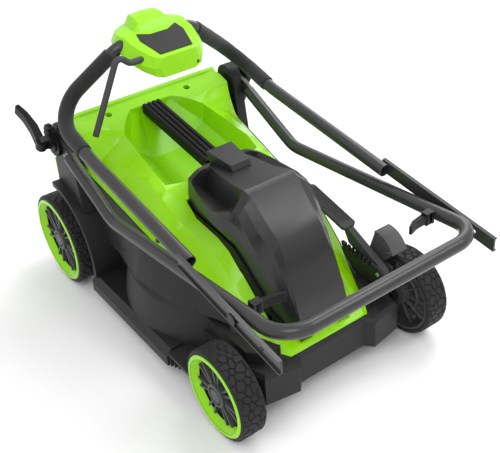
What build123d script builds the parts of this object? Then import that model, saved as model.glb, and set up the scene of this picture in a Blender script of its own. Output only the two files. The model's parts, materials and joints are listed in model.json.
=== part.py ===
from build123d import *
from math import cos, hypot, radians, sin
import os

# Push lawn mower with its handle folded forward for storage.
# Frame: +Z up, front towards -Y, the mower's left towards +X. The origin is on the ground,
# half-way between the tail ends of the upper handle and the back of the rear wheels.

# Driving dimensions, in millimetres and degrees
half_length = 385.0
front_wheel_r = 76.0
rear_wheel_r = 89.0
front_tyre_w = 44.0
rear_tyre_w = 46.0
front_face_x = 209.0
rear_face_x = 215.0
front_axle_y = -224.0
tread_t = 7.5
ring_w = 14.0
spoke_pairs = 7
spindle_r = 6.0
crank_r = 40.0
crank_rest = 148.0
crank_swing = 64.0
crank_t = 8.0

cut_width = 360.0
blade_y = 20.0
blade_z = 46.0
blade_w = 46.0
blade_t = 3.0
tip_gap = 10.0
deck_low = 30.0
deck_top = 126.0
deck_wall = 8.0
drum_foot = 58.0
groove_r = 184.0
skirt_x = 206.0
nose_x = 146.0
rear_x = 147.0
rear_back_y = 306.0

tube_r = 11.0
tube_wall = 1.5
foam_t = 2.5
pivot_y = 252.0
pivot_z = 316.0
pivot_x = 190.0
bend_y = 75.0
bend_z = 230.0
crossbar_y = -370.0
crossbar_z = 271.0
corner_x = 179.5
bend_x = 189.0
upper_x = 188.0
joint_y = -285.0
foam_end_y = 130.0
foam_end_z = 328.0
bar_x = 70.0
bar_y = 203.0
bar_z = 463.0
corner_y = 251.0
corner_z = 362.0
grip_bend_r = 58.0
bar_bend_r = 40.0
easy_bend_r = 150.0
channel_x = 195.6
channel_h = 9.6
channel_len = 120.0
lip_w = 3.0
tail_hole_r = 3.5
tail_hole_in = 38.0

cover_wall = 3.0
lid_wall = 2.6
hood_wall = 6.0
lid_hinge_y = -234.0
lid_hinge_z = 103.8
lid_knuckle_r = 3.2
lid_pin_r = 1.6

run_gap = 0.05
gap = 0.4

# Values that follow from the driving dimensions
rear_axle_y = half_length - rear_wheel_r
crank_dy = crank_r * cos(radians(crank_rest))
crank_dz = crank_r * sin(radians(crank_rest))
front_pivot_y = front_axle_y - crank_dy
front_pivot_z = front_wheel_r - crank_dz
rear_pivot_y = rear_axle_y - crank_dy
rear_pivot_z = rear_wheel_r - crank_dz
chamber_r = cut_width / 2 + tip_gap
drum_r = chamber_r + deck_wall
leg_slope = (crossbar_z - bend_z) / (crossbar_y - bend_y)
joint_z = bend_z + leg_slope * (joint_y - bend_y)
upper_slope = (foam_end_z - joint_z) / (foam_end_y - joint_y)
foam_r = tube_r + foam_t


def block(x0, x1, y0, y1, z0, z1):
    """Box between two corners."""
    return Pos((x0 + x1) / 2, (y0 + y1) / 2, (z0 + z1) / 2) * Box(x1 - x0, y1 - y0, z1 - z0)


def rod_x(r, x0, x1, y, z):
    """Round bar along X."""
    return Pos((x0 + x1) / 2, y, z) * Rot(0, 90, 0) * Cylinder(r, x1 - x0)


def rod_y(r, y0, y1, x, z):
    """Round bar along Y."""
    return Pos(x, (y0 + y1) / 2, z) * Rot(90, 0, 0) * Cylinder(r, y1 - y0)


def rod_z(r, z0, z1, x, y):
    """Round bar along Z."""
    return Pos(x, y, (z0 + z1) / 2) * Cylinder(r, z1 - z0)


def side_plate(points, x0, x1):
    """Outline in the YZ plane, thickened from x0 to x1."""
    face = make_face(Polyline(*points, close=True))
    return extrude(Plane.YZ.offset(x0) * face, x1 - x0)


def flat_plate(points, z0, z1):
    """Outline in the XY plane, thickened from z0 to z1."""
    face = make_face(Polyline(*points, close=True))
    return extrude(Pos(0, 0, z0) * face, z1 - z0)


def front_plate(points, y0, y1):
    """Outline in the XZ plane, thickened from y0 to y1."""
    plane = Plane(origin=(0, y1, 0), x_dir=(1, 0, 0), z_dir=(0, -1, 0))
    face = make_face(Polyline(*points, close=True))
    return extrude(plane * face, y1 - y0)


def flip(shape):
    """The same shape on the mower's other side."""
    return mirror(shape, about=Plane.YZ)


def both(shape):
    """A shape and its mirror image as one group."""
    return Compound(children=[shape, flip(shape)])


def ruled(stations, floor=None):
    """Faceted solid through mirrored half sections: (y, [(x, z), ...]) from the crown to the edge.

    Each section is closed straight across at its edge, or at floor where one is given.
    """
    faces = []
    for y, half in stations:
        right = list(half)
        if floor is not None:
            right.append((right[-1][0], floor))
        outline = [(x, z) for x, z in reversed(right)] + [(-x, z) for x, z in right if x > 0]
        plane = Plane(origin=(0, y, 0), x_dir=(1, 0, 0), z_dir=(0, -1, 0))
        faces.append(plane * make_face(Polyline(*outline, close=True)))
    return loft(faces, ruled=True)


def inset(stations, wall, rise=-1):
    """Half sections moved in by a wall, sideways, at both ends and down (or up, with rise 1)."""
    moved = []
    for y, half in stations:
        moved.append((y, [(max(x - wall, 0), z + rise * wall) for x, z in half]))
    (ya, first), (yb, last) = moved[0], moved[-1]
    step = wall if ya > yb else -wall
    moved[0] = (ya - step, first)
    moved[-1] = (yb + step, last)
    return moved


def grown(stations, wall):
    """Half sections moved out by a wall all round, the reverse of inset but with the top left open."""
    moved = []
    for y, half in stations:
        moved.append((y, [(x + wall if x else 0, z if z == half[0][1] else z - wall) for x, z in half]))
    (ya, first), (yb, last) = moved[0], moved[-1]
    moved[0] = (ya + wall, first)
    moved[-1] = (yb - wall, last)
    return moved


def bent_tube(points, radii, outer, inner=None):
    """Tube along straight runs joined by arcs."""
    path = FilletPolyline(*points, radius=radii)
    section = Circle(outer)
    if inner:
        section = section - Circle(inner)
    return sweep(Plane(path @ 0, z_dir=path % 0) * section, path=path)


def save(name, shape):
    """Write one sub-part."""
    export_step(shape, f"parts/{name}.step")


# Deck

fender_in = 112.0
fender_t = 10.0
fender_x = 200.0
tower_x0 = 166.0
tower_x1 = 185.5
tower_r = 27.0
nose_low = 36.0
nose_brow = 6.0
apron_top = 92.0
step_top = 114.0
nose_step_y = -212.0
bolt_r = 5.0
rim_w = 10.0
seat_gap = 0.3


def nose_outline(shrink=0.0):
    """Front of the deck in plan: two corner blocks that stand ahead of the middle lip, or the room in it."""
    outer = [(nose_x, -95), (nose_x, -226), (137, -256)]
    inner = [(78, -266), (65, -252)]
    half = [(x - shrink, y + shrink if y < -200 else y) for x, y in outer]
    half += [(x + 0.4 * shrink, y + shrink) for x, y in inner]
    return half + [(-x, y) for x, y in reversed(half)]


def fender_sector(r0, r1, a0, a1, steps=14):
    """Ring sector round the rear axle, as points in the YZ plane."""
    angles = [radians(a0 + (a1 - a0) * i / steps) for i in range(steps + 1)]
    outer = [(rear_axle_y + r1 * cos(a), rear_wheel_r + r1 * sin(a)) for a in angles]
    inner = [(rear_axle_y + r0 * cos(a), rear_wheel_r + r0 * sin(a)) for a in reversed(angles)]
    return outer + inner


def side_tower():
    """Fender and handle tower over the left rear wheel."""
    fender = side_plate(fender_sector(fender_in, fender_in + fender_t, 88, 196), rear_x - 8, fender_x)
    post = [
        (pivot_y - 44, 178),
        (pivot_y + 50, 196),
        (pivot_y + tower_r, pivot_z),
        (pivot_y - tower_r, pivot_z),
    ]
    tower = side_plate(post, tower_x0, tower_x1) + rod_x(tower_r, tower_x0, tower_x1, pivot_y, pivot_z)
    web = block(rear_x - 8, tower_x0 + 1, pivot_y - 40, pivot_y + 48, 180, 236)
    return fender + tower + web


def shoulder():
    """Upper tier of the deck: from the edge of the cover down to a groove round the drum, hollow inside."""
    outer, inner = [], []
    for y, half in cover_sections:
        x, z = half[-1]
        low = deck_top if z > deck_top else apron_top
        reach = max(groove_r ** 2 - (y - blade_y) ** 2, 0) ** 0.5
        foot = max(x + 6, min(reach, x + 34)) if z > deck_top else x + 17
        outer.append((y, [(0, z - seat_gap), (x + 2, z - seat_gap), (foot, min(z - 8, deck_top - 6))]))
        inner.append((y, [(0, z + 1), (x - rim_w, z + 1), (x - rim_w + 4, low)]))
    return ruled(outer) - ruled(inner)


def under_cover():
    """Room below the cover: everything above its lower edge, down to the apron at the front."""
    stations = []
    for y, half in cover_sections:
        x, z = half[-1]
        low = z - seat_gap if z > deck_top else apron_top
        stations.append((y, [(0, 400), (x + seat_gap, 400), (x + seat_gap, low)]))
    return ruled(stations)


def make_deck():
    """Moulded deck: blade drum, side skirts, nose, rear tunnel, fenders and handle towers."""
    lean = Pos(0, blade_y, (drum_foot + deck_top) / 2) * Cone(drum_r, groove_r, deck_top - drum_foot)
    lean = fillet(lean.edges().group_by(Axis.Z)[-1], 10)
    drum = rod_z(drum_r, deck_low, drum_foot, 0, blade_y) + lean
    skirt = block(-skirt_x, skirt_x, -78, 187, deck_low, drum_foot + 4)
    skirt = chamfer(skirt.edges().filter_by(Axis.Y).group_by(Axis.Z)[-1], 14, 10)
    nose = flat_plate(nose_outline(), nose_low, apron_top)
    brow = nose.edges().group_by(Axis.Z)[-1].filter_by(lambda e: e.center().Y < -230)
    nose = chamfer(brow, nose_brow)
    half_step = [(138, -90), (138, nose_step_y), (120, nose_step_y - 20)]
    nose_upper = flat_plate(half_step + [(-x, y) for x, y in reversed(half_step)], apron_top - 1, step_top)
    rear = block(-rear_x, rear_x, 110, rear_back_y, 70, 246)
    rear -= side_plate([(100, 132), (100, 270), (310, 270), (310, 240)], -rear_x - 1, rear_x + 1)
    tower = side_tower()
    wheel_room = rod_x(fender_in, rear_x + 1, rear_x + 80, rear_axle_y, rear_wheel_r)
    tier = shoulder() - wheel_room - flip(wheel_room)
    body = nose_upper + tier + rear + tower + flip(tower) - under_cover()
    body = body + drum + skirt + nose
    lug_y = (rear_back_y - 20, rear_pivot_y + 15)
    lug = block(rear_x - 22, rear_x, *lug_y, rear_pivot_z - 14, rear_pivot_z + 16)
    body = body + lug + flip(lug)
    roof = deck_top - deck_wall
    chamber = rod_z(chamber_r, deck_low - 5, drum_foot, 0, blade_y)
    chamber += Pos(0, blade_y, (drum_foot + roof) / 2) * Cone(chamber_r, groove_r - 10, roof - drum_foot)
    tunnel = side_plate(
        [(110, 58), (208, 84), (rear_back_y + 9, 104), (rear_back_y + 9, 226), (150, 112), (110, 112)],
        -rear_x + 22, rear_x - 22,
    )
    nose_room = flat_plate(nose_outline(5), nose_low - 1, apron_top - 5)
    nose_room -= rod_z(drum_r, 0, 200, 0, blade_y)
    skirt_room = block(-skirt_x + 6, skirt_x - 6, -72, 181, deck_low - 1, 50)
    skirt_room -= rod_z(drum_r, 0, 200, 0, blade_y)
    body = body - chamber - tunnel - nose_room - skirt_room
    body -= rod_x(spindle_r + run_gap, -nose_x - 1, nose_x + 1, front_pivot_y, front_pivot_z)
    body -= rod_x(spindle_r + run_gap, -rear_x - 1, rear_x + 1, rear_pivot_y, rear_pivot_z)
    body -= rod_x(bolt_r, tower_x0 - 12, tower_x1 + 1, pivot_y, pivot_z)
    body -= rod_x(bolt_r, -tower_x1 - 1, -tower_x0 + 12, pivot_y, pivot_z)
    body -= rod_z(shaft_r + 1.0, 60, deck_top + 1, 0, blade_y)
    for x, y, z in cover_screw_at:
        body -= both(rod_z(screw_r, z - screw_sink - screw_l - 1, z, x, y))
    return body


# Motor, blade and their parts

shaft_r = 8.0
motor_r = 50.0
motor_h = 58.0
motor_wall = 4.0


def make_motor_can():
    """Stator housing standing on the deck."""
    can = rod_z(motor_r, deck_top, deck_top + motor_h, 0, blade_y)
    can -= rod_z(motor_r - motor_wall, deck_top + 6, deck_top + motor_h - 6, 0, blade_y)
    can -= rod_z(shaft_r + run_gap, deck_top - 1, deck_top + motor_h + 1, 0, blade_y)
    return can


def make_rotor():
    """Rotor drum on the motor shaft, which carries the blade."""
    shaft = rod_z(shaft_r, blade_z + 8, deck_top + motor_h + 4, 0, blade_y)
    drum = rod_z(motor_r - motor_wall - 12, deck_top + 12, deck_top + motor_h - 12, 0, blade_y)
    return shaft + drum


def make_fan():
    """Cooling fan disc with radial vanes, under the deck roof."""
    low = deck_top - deck_wall - 22
    disc = rod_z(48, low, low + 3, 0, blade_y)
    for i in range(8):
        vane = Pos(0, blade_y, low + 8) * Rot(0, 0, 45 * i) * Pos(32, 0, 0) * Box(28, 2.4, 12)
        disc += vane
    return disc - rod_z(shaft_r, 0, 200, 0, blade_y)


def make_blade_carrier():
    """Boss that clamps the blade to the shaft."""
    boss = rod_z(22, blade_z + blade_t / 2, blade_z + 26, 0, blade_y)
    return boss - rod_z(shaft_r, blade_z + 8, 200, 0, blade_y) - rod_z(5, 0, blade_z + 9, 0, blade_y)


def make_blade():
    """Flat bar blade with lifted rear edges at both ends."""
    half = cut_width / 2
    bar = Pos(0, blade_y, blade_z) * Box(2 * half - 12, blade_w, blade_t)
    wing = Pos(half - 46, blade_y + blade_w / 2 - 2, blade_z + 6) * Rot(58, 0, 0) * Box(76, 15, blade_t)
    bar = bar + wing + Pos(0, blade_y, 0) * Rot(0, 0, 180) * Pos(0, -blade_y, 0) * wing
    return bar - rod_z(5, 0, 100, 0, blade_y)


def make_blade_bolt():
    """Hexagon bolt under the blade, with its washer."""
    low = blade_z - blade_t / 2
    washer = rod_z(16, low - 3, low, 0, blade_y)
    head = extrude(Pos(0, blade_y, low - 11) * RegularPolygon(9.5, 6), 8)
    return washer + head + rod_z(5, low - 4, blade_z + 8, 0, blade_y)


# Green top cover

cover_sections = [
    (289, [(0, 331), (120, 331), (163, 330), (170, 268)]),
    (281, [(0, 329.6), (120, 329.6), (160.5, 328.6), (167, 265.6)]),
    (279, [(0, 325.6), (120, 325.6), (159, 327), (166.2, 264.8)]),
    (256, [(0, 320), (114, 320), (158, 325), (162.4, 259)]),
    (233, [(0, 316.5), (101, 315), (157, 319), (161.3, 254)]),
    (215, [(0, 313.5), (89, 308.5), (148, 300), (160.5, 250.2)]),
    (203, [(0, 311.5), (85, 304), (137, 272), (159.9, 247.4)]),
    (146, [(0, 297), (89, 295), (119, 271), (156.2, 231.6)]),
    (90, [(0, 286), (94, 284), (112, 272), (152.6, 216.1)]),
    (50, [(0, 266), (98, 266), (112, 258), (150, 205)]),
    (0, [(0, 228), (72, 226), (101, 222), (146, 192)]),
    (-46, [(0, 222), (72, 222), (97.5, 212), (139.6, 183.5)]),
    (-65, [(0, 220), (72, 220), (96, 208), (137, 180)]),
    (-92, [(0, 212), (72, 212), (95, 190), (132, 164.7)]),
    (-125, [(0, 183), (71, 183), (94, 168), (126, 146)]),
    (-150, [(0, 149), (69, 149), (91.5, 144.3), (118.5, 128.5)]),
    (-165, [(0, 129), (66, 129.7), (90, 130), (114, 118)]),
    (-178, [(0, 113), (66, 113), (88.2, 124), (109.2, 112.9)]),
    (-208, [(0, 101), (66, 104), (84, 110), (98, 101)]),
    (-228, [(0, 99.6), (62, 100), (78, 101), (90, 96)]),
    (-246, [(0, 97), (52, 97.5), (68, 98), (78, 93.5)]),
]
trough_sections = [
    (254, [(0, 345), (60, 345), (40, 314), (24, 303)]),
    (206, [(0, 345), (92.4, 345), (78, 272), (34, 236)]),
    (58, [(0, 345), (140, 345), (80, 245), (44, 204)]),
    (40, [(0, 345), (60, 345), (50, 318), (40, 300)]),
]
trough_low = 185.0
trough_stations = [station for station in cover_sections if station[0] >= 0]
cover_screw_at = [(83, 261, 321), (139.5, 19, 206.6)]
screw_r = 3.0
screw_head_r = 5.8
screw_sink = 8.0
screw_l = 12.0
hood_back = 27.0
hood_front = lid_hinge_y + 8
hood_half = [(76, hood_back), (76, -119), (72, -146), (66, -179), (61, -205), (54, hood_front)]


def hood_outline(grow=0.0):
    """Battery housing in plan, or the same outline moved out all round."""
    half = [(x + grow, y) for x, y in hood_half]
    half[0] = (half[0][0], hood_back + grow)
    half[-1] = (half[-1][0], hood_front - grow)
    return half + [(-x, y) for x, y in reversed(half)]


def make_cover():
    """Faceted cover shell with a hand trough and an opening for the hood."""
    outer = ruled(cover_sections)
    cavity = ruled(inset(cover_sections, cover_wall), floor=60)
    trough = ruled(trough_sections)
    under_top = ruled(trough_stations, floor=trough_low)
    liner = ruled(grown(trough_sections, cover_wall)) & under_top
    shell = outer - cavity + liner - trough
    shell -= flat_plate(hood_outline(gap), 60, 345)
    for x, y, z in cover_screw_at:
        for side in (-x, x):
            boss = rod_z(screw_head_r + 3, z - screw_sink - 5, z + 20, side, y) & outer
            shell = shell + boss - rod_z(screw_head_r + gap, z - screw_sink, 400, side, y)
            shell -= rod_z(screw_r, z - 60, z, side, y)
    return shell


def make_cover_screws():
    """Screws that hold the cover down, at the bottom of their pockets."""
    screws = []
    for x, y, z in cover_screw_at:
        for side in (-x, x):
            low = z - screw_sink
            head = rod_z(screw_head_r, low, low + 4, side, y) - Pos(side, y, low + 4) * Box(7, 1.4, 3)
            screws.append(head + rod_z(screw_r, low - screw_l, low, side, y))
    return Compound(children=screws)


# Carry handle, battery housing and lid

handle_w = 38.0
handle_h = 20.0
handle_grooves = 3
groove_w = 3.2
groove_d = 2.5
handle_rear = (252.0, 323.0)
handle_front = (46.0, 291.0)


def make_carry_handle():
    """Bar that bridges the hand trough, grooved on top, with a foot on the cover at its front end."""
    (ya, za), (yb, zb) = handle_rear, handle_front
    side = [(ya, za), (ya, za - handle_h), (yb, zb - handle_h), (yb, zb)]
    bar = side_plate(side, -handle_w / 2, handle_w / 2)
    bar = fillet(bar.edges().filter_by(lambda e: abs(e.tangent_at(0.5).Y) > 0.5), 4)
    pitch = handle_w / (handle_grooves + 1)
    for i in range(handle_grooves):
        x = pitch * (i + 1) - handle_w / 2
        side = [(ya + 1, za + 1), (ya + 1, za - groove_d), (yb - 1, zb - groove_d), (yb - 1, zb + 1)]
        bar -= side_plate(side, x - groove_w / 2, x + groove_w / 2)
    foot = block(-handle_w / 2, handle_w / 2, hood_back + 2, yb, zb - 70, zb - 12) - ruled(cover_sections)
    return bar + foot


lid_sections = [
    (24, [(0, 300), (38, 300), (50, 298), (59, 294), (69, 288), (72, 262), (72, 236)]),
    (14, [(0, 301), (38, 301), (50, 299), (59, 294), (71, 288), (74, 262), (72, 235)]),
    (11, [(0, 301), (34, 301), (40, 284), (46, 266), (72, 287), (75, 262), (72, 235)]),
    (-10, [(0, 303), (37, 303), (43, 284), (49, 265), (78, 284), (80, 262), (72, 232)]),
    (-62, [(0, 305), (42, 305), (48, 284), (53, 265), (88, 277), (89, 258), (72, 228)]),
    (-90, [(0, 311), (45.5, 311), (52, 297), (60, 282), (86, 275), (87, 254), (72, 224)]),
    (-104, [(0, 314), (46.5, 314), (58, 301), (69, 289), (80, 276), (81, 254), (72, 222)]),
    (-119, [(0, 308), (45, 308), (59, 296), (71.5, 284), (75, 268), (76, 246), (72, 212)]),
    (-146, [(0, 283), (43, 283), (58, 268), (70, 248), (70, 236), (69, 218), (68, 182)]),
    (-163, [(0, 268), (42, 268), (55, 253), (63, 222), (64, 206), (64, 190), (64, 160)]),
    (-179, [(0, 254), (40.5, 254), (52, 240), (59.5, 206), (61, 182), (61.5, 166), (62, 136)]),
    (-205, [(0, 205), (44, 205), (50, 190), (55, 165), (57, 150), (57, 140), (57, 121)]),
    (-222, [(0, 165), (46, 165), (49, 155), (51, 138), (52, 128), (52, 122), (52, 112)]),
    (-230, [(0, 140), (47, 140), (48, 134), (48.5, 122), (49, 116), (49, 112), (49, 107.4)]),
]
battery_room = (-142.0, 14.0)
battery_floor = 196.0


def make_hood_base():
    """Black battery housing: walls up to the lid's lower edge, a battery floor and hinge ears."""
    edge = [(y, half[-1][1] - gap) for y, half in lid_sections]
    low = apron_top + seat_gap
    ear_low = lid_hinge_z - lid_knuckle_r + 0.2
    front = hood_front
    apron_y = max(y for y, half in cover_sections if half[-1][1] <= deck_top)
    drum_front = min(blade_y - drum_r - 4, apron_y - 1)
    profile = [(hood_back, deck_top + seat_gap), (hood_back, edge[0][1])] + edge[1:-1]
    profile += [(front, edge[-1][1] - 0.6)]
    profile += [(front, low), (drum_front, low), (drum_front, deck_top + seat_gap)]
    walls = side_plate(profile, -hood_half[0][0], hood_half[0][0]) & flat_plate(hood_outline(), 60, 400)
    hollow = flat_plate(hood_outline(-hood_wall), 60, 400)
    room = [(hood_back - 3, battery_floor), (hood_back - 3, 300), (-150, 300)]
    room += [(battery_room[0], battery_floor + 40), (battery_room[0], battery_floor)]
    walls -= side_plate(room, -100, 100) & hollow
    under = [(hood_back + 1, low - 1), (hood_back + 1, battery_floor - 4)]
    under += [(battery_room[0], battery_floor - 4), (front + 5, 108), (front + 5, low - 1)]
    back_room = block(-70, 70, hood_back - hood_wall - 1, hood_back + 1, 60, 400)
    walls -= side_plate(under, -100, 100) & (hollow + back_room)
    for x in (-31, 31):
        ear = rod_x(lid_knuckle_r, x - 5, x + 5, lid_hinge_y, lid_hinge_z)
        ear += block(x - 5, x + 5, lid_hinge_y, front + 1, ear_low, lid_hinge_z + 2.6)
        walls = walls + ear
    return walls - rod_x(lid_pin_r, -60, 60, lid_hinge_y, lid_hinge_z)


def make_lid():
    """Faceted battery lid, open below, with hinge knuckles at its front edge."""
    shell = ruled(lid_sections) - ruled(inset(lid_sections, lid_wall), floor=60)
    for x in (-44, 44):
        knuckle = rod_x(lid_knuckle_r, x - 6, x + 6, lid_hinge_y, lid_hinge_z)
        arm = block(x - 6, x + 6, lid_hinge_y, lid_hinge_y + 6, lid_hinge_z, lid_hinge_z + 6)
        shell = shell + knuckle + arm
    return shell - rod_x(lid_pin_r + run_gap, -60, 60, lid_hinge_y, lid_hinge_z)


def make_lid_tab():
    """Thumb tab at the back of the lid."""
    side = [(30, 306), (31, 319), (-28, 314), (-33, 304.2), (-10, 303.2), (11, 301.2), (24, 300.2)]
    wedge = side_plate(side, -30, 30) & flat_plate([(25, 32), (18, -34), (-18, -34), (-25, 32)], 290, 330)
    return wedge - side_plate([(32, 309), (32, 315), (24, 313), (24, 309)], -19, 19)


def make_battery():
    """Slide-in battery pack with a latch and a strap."""
    y0, y1 = battery_room[0] + 6, battery_room[1] - 14
    pack = block(-40, 40, y0, y1, battery_floor, battery_floor + 76)
    pack = chamfer(pack.edges().filter_by(Axis.Y), 6)
    latch = block(-14, 14, y1 - 34, y1 - 8, battery_floor + 76, battery_floor + 82)
    return pack + latch


def make_terminal_block():
    """Contact block behind the battery."""
    y1 = battery_room[1] - 14
    body = block(-24, 24, y1, y1 + 18, battery_floor, battery_floor + 40)
    for x in (-15, -5, 5, 15):
        body -= block(x - 1.5, x + 1.5, y1 + 6, y1 + 12, battery_floor + 20, battery_floor + 41)
    return body


def make_safety_key():
    """Plug-in isolating key beside the battery."""
    y1 = battery_room[1] - 14
    return block(44, 52, y1 - 24, y1 - 4, battery_floor, battery_floor + 34)


def make_controller():
    """Motor control box with cooling ribs, ahead of the motor."""
    box = block(-48, 48, -135, -60, deck_top, deck_top + 26)
    for i in range(9):
        y = -130 + 8 * i
        box += block(-46, 46, y, y + 2.5, deck_top + 26, deck_top + 34)
    return box


def make_lid_pins():
    """Two hinge pins of the lid, held in the ears of the battery housing."""
    return both(rod_x(lid_pin_r, 26, 50, lid_hinge_y, lid_hinge_z))


# Rear flap

flap_y = 312.0
cover_back = cover_sections[0][0]
flap_z = 258.0
flap_t = 3.5
flap_low = 104.0
flap_x = 180.0
flap_low_x = 134.0
flap_rod_r = 3.0


def make_flap():
    """Discharge flap, wide above the wheels and narrow between them."""
    top = flap_z - 9
    half = [(flap_low_x, flap_low), (flap_low_x, 192), (flap_x, 200), (flap_x, top), (0, top)]
    outline = half + [(-x, z) for x, z in reversed(half[:-1])]
    y0, y1 = flap_y - flap_t / 2, flap_y + flap_t / 2
    panel = front_plate(outline, y0, y1)
    for x in (-120, -60, 0, 60, 120):
        panel += block(x - 1.5, x + 1.5, y1 - 0.5, y1 + 7, flap_low + 8, flap_z - 26)
    for x in (-150, -50, 50, 150):
        knuckle = rod_x(6, x - 14, x + 14, flap_y, flap_z)
        knuckle += block(x - 14, x + 14, y0, y1, top - 6, flap_z)
        panel += knuckle
    return panel - rod_x(flap_rod_r + run_gap, -200, 200, flap_y, flap_z)


def make_flap_rod():
    """Steel rod that the flap swings on."""
    return rod_x(flap_rod_r, -172, 172, flap_y, flap_z)


def make_flap_hangers():
    """Hinge ears behind the cover that hold the flap rod."""
    ears = []
    for x in (-100, 0, 100):
        ear = block(x - 8, x + 8, cover_back + seat_gap, flap_y - 3, flap_z - 2, flap_z + 26)
        ear += block(x - 8, x + 8, flap_y - 9, flap_y, flap_z - 2, flap_z + 7)
        ear += rod_x(7, x - 8, x + 8, flap_y, flap_z)
        ears.append(ear - rod_x(flap_rod_r, x - 9, x + 9, flap_y, flap_z))
    return Compound(children=ears)


# Wheels

hub_gap = 1.0
ring_depth = 13.0
ring_lip = 1.5
dish_depth = 10.5
dish_rise = 8.0
boss_r = 20.0
boss_in = 1.5
spoke_h = 13.0
spoke_t = 3.6
spoke_twist = 8.0


def wheel_parts(radius, width, face_x, y, side):
    """Tyre, green ring and spoked hub of one wheel; side is 1 on the left and -1 on the right."""
    seat = radius - tread_t
    inner = face_x - width
    tyre = rod_x(radius, inner, face_x, y, radius)
    tyre = fillet(tyre.edges().filter_by(GeomType.CIRCLE), 6)
    tyre -= rod_x(seat, inner - 1, face_x + 1, y, radius)
    back = face_x - ring_depth
    dish_r = seat - ring_w
    rim_r = dish_r + dish_rise
    ring = rod_x(seat, back, face_x + ring_lip, y, radius)
    ring = chamfer(ring.edges().group_by(Axis.X)[-1], 1.2)
    ring -= rod_x(rim_r, back - 1, face_x + ring_lip + 1, y, radius)
    dish = rod_x(rim_r + 1, face_x - dish_depth, face_x, y, radius)
    hollow = Rot(0, 90, 0) * Cone(dish_r, rim_r, dish_depth + 0.1)
    ring += dish - Pos(face_x - dish_depth / 2, y, radius) * hollow
    ring -= rod_x(dish_r, back - 1, face_x + ring_lip + 1, y, radius)
    drum = rod_x(seat, inner + 2, back, y, radius) - rod_x(seat - 5, inner + 1, back + 1, y, radius)
    web = rod_x(seat - 2, back - 8, back - 3, y, radius)
    boss = rod_x(boss_r, inner - hub_gap, face_x - boss_in, y, radius)
    boss = chamfer(boss.edges().group_by(Axis.X)[-1], 1.5)
    hub = drum + web + boss
    spoke_len = seat - 2 - boss_r + 2
    for i in range(spoke_pairs):
        for twist in (-spoke_twist, spoke_twist):
            turn = Rot(360 / spoke_pairs * i + twist, 0, 0)
            spoke = Pos(back, 0, boss_r - 2 + spoke_len / 2) * Box(spoke_h, spoke_t, spoke_len)
            hub += Pos(0, y, radius) * turn * spoke
    hub -= rod_x(spindle_r + run_gap, inner - 9, face_x - 12, y, radius)
    cap = rod_x(boss_r - 5, face_x - boss_in - 3, face_x, y, radius)
    hub -= cap - rod_x(boss_r - 8, face_x - boss_in - 3, face_x, y, radius)
    ring_room = rod_x(seat + 1, back, face_x + 2, y, radius)
    hub -= ring_room - rod_x(dish_r, back - 1, face_x + 3, y, radius)
    if side < 0:
        return flip(tyre), flip(ring), flip(hub)
    return tyre, ring, hub


# Height adjustment

lever_x = 131.5
lever_w = 28.0
lever_arm_w = 12.0
lever_t = 6.0
lever_pivot = (-225.0, 140.0)
lever_pin_r = 4.0
lever_tip = (-34.0, 217.0)
lever_knee = (-146.0, 190.0)
rack_x0 = 119.0
rack_x1 = 124.5
rack_teeth = 7


def axle_set(pivot_y_, pivot_z_, axle_y, axle_z, span, arm_x, spindle_end):
    """Cross rod with a crank arm and a wheel spindle at each end."""
    rod = rod_x(spindle_r, -span, span, pivot_y_, pivot_z_)
    arm = rod_x(10, arm_x, arm_x + crank_t, pivot_y_, pivot_z_)
    arm += rod_x(10, arm_x, arm_x + crank_t, axle_y, axle_z)
    dy, dz = axle_y - pivot_y_, axle_z - pivot_z_
    ny, nz = -dz / crank_r * 8, dy / crank_r * 8
    arm += side_plate(
        [(pivot_y_ + ny, pivot_z_ + nz), (axle_y + ny, axle_z + nz), (axle_y - ny, axle_z - nz),
         (pivot_y_ - ny, pivot_z_ - nz)], arm_x, arm_x + crank_t,
    )
    arm += rod_x(spindle_r, arm_x + 1, spindle_end, axle_y, axle_z)
    arm += rod_x(spindle_r, span - 1, arm_x + 1, pivot_y_, pivot_z_)
    return rod + arm + flip(arm)


def make_height_lever():
    """Lever with a broad ridged paddle, a narrow ribbed arm and a hinge eye."""
    yp, zp = lever_pivot
    yk, zk = lever_knee
    yt, zt = lever_tip
    run = hypot(yt - yk, zt - zk)
    uy, uz = (yt - yk) / run, (zt - zk) / run

    def above(share, height):
        return (yk + (yt - yk) * share - uz * height, zk + (zt - zk) * share + uy * height)

    x0, x1 = lever_x - lever_w / 2, lever_x + lever_w / 2
    paddle = side_plate([above(0, 0), above(1, 0), above(1, -lever_t), above(0, -lever_t)], x0, x1)
    paddle = fillet(paddle.edges().filter_by(lambda e: abs(e.tangent_at(0.5).Z) > 0.8), 7)
    for i in range(6):
        x = x0 + 3.5 + i * (lever_w - 7) / 5
        ridge = [above(0.1, -1), above(0.94, -1), above(0.92, 1.2), above(0.14, 1.2)]
        paddle += side_plate(ridge, x - 0.8, x + 0.8)
    arm = [above(0.1, -0.5), above(0.1, -lever_t), (yk - 2, zk - 30), (yp + 4, zp - 7), (yp - 6, zp + 7)]
    arm = side_plate(arm, lever_x - lever_arm_w / 2, lever_x + lever_arm_w / 2)
    eye = rod_x(9, lever_x - lever_arm_w / 2, lever_x + lever_arm_w / 2, yp, zp)
    return paddle + arm + eye - rod_x(lever_pin_r + run_gap, lever_x - 20, lever_x + 20, yp, zp)


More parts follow.
